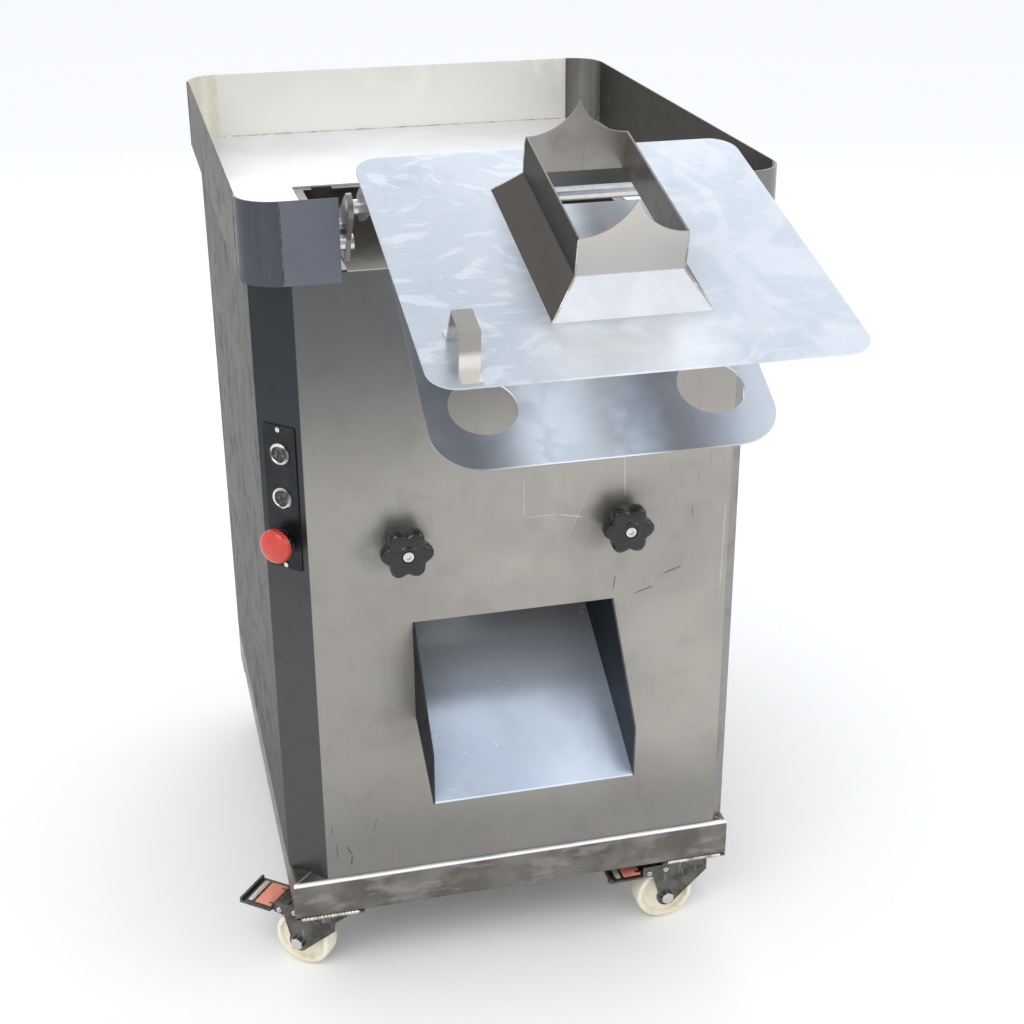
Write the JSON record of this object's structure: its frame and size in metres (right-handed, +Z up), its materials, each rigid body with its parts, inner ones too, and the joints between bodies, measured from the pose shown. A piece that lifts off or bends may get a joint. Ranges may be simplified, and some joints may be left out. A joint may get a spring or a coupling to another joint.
{
  "type": "meat shredder",
  "caption": "Free-standing stainless meat shredder on casters, with a walled tray, a hinged funnel lid and cover, toothed rolls inside, a front chute, knobs and push-buttons.",
  "frame": {"origin": "on the ground, under the centre of the rectangular base frame", "axes": "+X to the right seen from the front, +Y from the front panel to the back, +Z up; the front panel and the open lids face -Y"},
  "size_m": [0.6234, 1.184, 1.1071],
  "materials": {
    "sheet_steel": "brushed",
    "lid_steel": "satin, scratched",
    "frame_steel": "satin",
    "bright_steel": "polished",
    "cartridge_aluminium": "machined",
    "bronze": "machined",
    "pulley_iron": "machined",
    "belt_rubber": "matt",
    "motor_paint": "painted",
    "grey_plastic": "moulded",
    "black_plastic": "gloss",
    "red_plastic": "gloss",
    "caster_steel": "zinc plated",
    "ivory_nylon": "satin"
  },
  "bodies": {
    "cabinet": {"base_frame": "frame_steel", "base_plate": "sheet_steel", "bulkhead": "sheet_steel", "button_bezels": "bright_steel", "cable_gland": "black_plastic", "caster_plates": "frame_steel", "chute_cheeks": "sheet_steel", "chute_ramp": "sheet_steel", "control_plate": "sheet_steel", "cutter_end_plates": "cartridge_aluminium", "cutter_tie_bars": "bright_steel", "drive_belt": "belt_rubber", "drive_supports": "frame_steel", "electrical_box": "grey_plastic", "estop_collar": "black_plastic", "feed_well": "sheet_steel", "fixings": "bright_steel", "front_panel": "sheet_steel", "hinge_bar": "bright_steel", "hinge_brackets": "frame_steel", "knob_studs": "bright_steel", "left_side_panel": "sheet_steel", "motor": "motor_paint", "rear_panel": "sheet_steel", "right_side_panel": "sheet_steel", "roll_bushes": "bronze", "stripper_combs": "bright_steel", "switch_bodies": "grey_plastic", "tray_corners": "sheet_steel", "tray_floor": "sheet_steel", "tray_walls": "sheet_steel"},
    "lid": {"lid_plate": "lid_steel", "lid_funnel": "lid_steel", "lid_catch_loop": "lid_steel", "lid_arms": "lid_steel"},
    "cover": {"cover_plate": "lid_steel", "cover_tabs": "lid_steel"},
    "knob_left": {"knob_left": "black_plastic"},
    "knob_right": {"knob_right": "black_plastic"},
    "upper_button": {"upper_button_cap": "black_plastic"},
    "lower_button": {"lower_button_cap": "black_plastic"},
    "stop_button": {"estop_head": "red_plastic"},
    "left_roll": {"roll_shaft_left": "bright_steel", "roll_discs_left": "bright_steel", "gear_left": "bright_steel", "drive_pulley": "pulley_iron"},
    "right_roll": {"roll_shaft_right": "bright_steel", "roll_discs_right": "bright_steel", "gear_right": "bright_steel"},
    "motor_rotor": {"motor_pulley": "pulley_iron"},
    "caster_front_left": {"caster_fork_front_left": "caster_steel"},
    "wheel_front_left": {"caster_wheel_front_left": "ivory_nylon"},
    "caster_front_right": {"caster_fork_front_right": "caster_steel"},
    "wheel_front_right": {"caster_wheel_front_right": "ivory_nylon"},
    "caster_rear_left": {"caster_fork_rear_left": "caster_steel"},
    "wheel_rear_left": {"caster_wheel_rear_left": "ivory_nylon"},
    "caster_rear_right": {"caster_fork_rear_right": "caster_steel"},
    "wheel_rear_right": {"caster_wheel_rear_right": "ivory_nylon"},
    "pedal_front_left": {"brake_pedal_front_left": "caster_steel"},
    "pedal_front_right": {"brake_pedal_front_right": "caster_steel"}
  },
  "joints": [
    {"name": "lid_hinge", "type": "hinge", "parent": "cabinet", "child": "lid", "pos_m": [0, -0.394, 0.979], "axis": [-1, 0, 0], "range_deg": [0, 195.5]},
    {"name": "cover_hinge", "type": "hinge", "parent": "lid", "child": "cover", "pos_m": [0, -0.394, 0.979], "axis": [-1, 0, 0], "range_deg": [0, 22.5]},
    {"name": "knob_left_turn", "type": "hinge", "parent": "cabinet", "child": "knob_left", "pos_m": [-0.1275, -0.36, 0.581], "axis": [0, 1, 0], "continuous": true},
    {"name": "knob_right_turn", "type": "hinge", "parent": "cabinet", "child": "knob_right", "pos_m": [0.1275, -0.36, 0.581], "axis": [0, 1, 0], "continuous": true},
    {"name": "upper_button_press", "type": "slide", "parent": "cabinet", "child": "upper_button", "axis": [0.6985, 0.7156, 0], "range_m": [0, 0.002], "stiffness_N_per_m": 250},
    {"name": "lower_button_press", "type": "slide", "parent": "cabinet", "child": "lower_button", "axis": [0.6985, 0.7156, 0], "range_m": [0, 0.002], "stiffness_N_per_m": 250},
    {"name": "stop_button_press", "type": "slide", "parent": "cabinet", "child": "stop_button", "axis": [0.6985, 0.7156, 0], "range_m": [0, 0.0035]},
    {"name": "left_roll_turn", "type": "hinge", "parent": "cabinet", "child": "left_roll", "pos_m": [-0.047, -0.16, 0.7863], "axis": [0, 1, 0], "continuous": true},
    {"name": "right_roll_turn", "type": "hinge", "parent": "cabinet", "child": "right_roll", "pos_m": [0.047, -0.16, 0.7863], "axis": [0, 1, 0], "continuous": true},
    {"name": "motor_turn", "type": "hinge", "parent": "cabinet", "child": "motor_rotor", "pos_m": [-0.047, 0.055, 0.306], "axis": [0, 1, 0], "continuous": true},
    {"name": "swivel_front_left", "type": "hinge", "parent": "cabinet", "child": "caster_front_left", "pos_m": [-0.233, -0.312, 0.09], "axis": [0, 0, 1], "continuous": true},
    {"name": "wheel_front_left_turn", "type": "hinge", "parent": "caster_front_left", "child": "wheel_front_left", "pos_m": [-0.25865, -0.29123, 0.0375], "axis": [-0.6293, -0.7771, 0], "continuous": true},
    {"name": "pedal_front_left_press", "type": "hinge", "parent": "caster_front_left", "child": "pedal_front_left", "pos_m": [-0.27807, -0.2755, 0.079], "axis": [-0.6293, -0.7771, 0], "range_deg": [0, 10]},
    {"name": "swivel_front_right", "type": "hinge", "parent": "cabinet", "child": "caster_front_right", "pos_m": [0.233, -0.312, 0.09], "axis": [0, 0, 1], "continuous": true},
    {"name": "wheel_front_right_turn", "type": "hinge", "parent": "caster_front_right", "child": "wheel_front_right", "pos_m": [0.20002, -0.31315, 0.0375], "axis": [0.0349, -0.9994, 0], "continuous": true},
    {"name": "pedal_front_right_press", "type": "hinge", "parent": "caster_front_right", "child": "pedal_front_right", "pos_m": [0.17504, -0.31402, 0.079], "axis": [0.0349, -0.9994, 0], "range_deg": [0, 10]},
    {"name": "swivel_rear_left", "type": "hinge", "parent": "cabinet", "child": "caster_rear_left", "pos_m": [-0.233, 0.312, 0.09], "axis": [0, 0, 1], "continuous": true},
    {"name": "wheel_rear_left_turn", "type": "hinge", "parent": "caster_rear_left", "child": "wheel_rear_left", "pos_m": [-0.20199, 0.32329, 0.0375], "axis": [-0.342, 0.9397, 0], "continuous": true},
    {"name": "swivel_rear_right", "type": "hinge", "parent": "cabinet", "child": "caster_rear_right", "pos_m": [0.233, 0.312, 0.09], "axis": [0, 0, 1], "continuous": true},
    {"name": "wheel_rear_right_turn", "type": "hinge", "parent": "caster_rear_right", "child": "wheel_rear_right", "pos_m": [0.20199, 0.32329, 0.0375], "axis": [-0.342, -0.9397, 0], "continuous": true}
  ],
  "couplings": [
    {"joint": "right_roll_turn", "follows": "left_roll_turn", "ratio": -1},
    {"joint": "motor_turn", "follows": "left_roll_turn", "ratio": 2.6431}
  ]
}
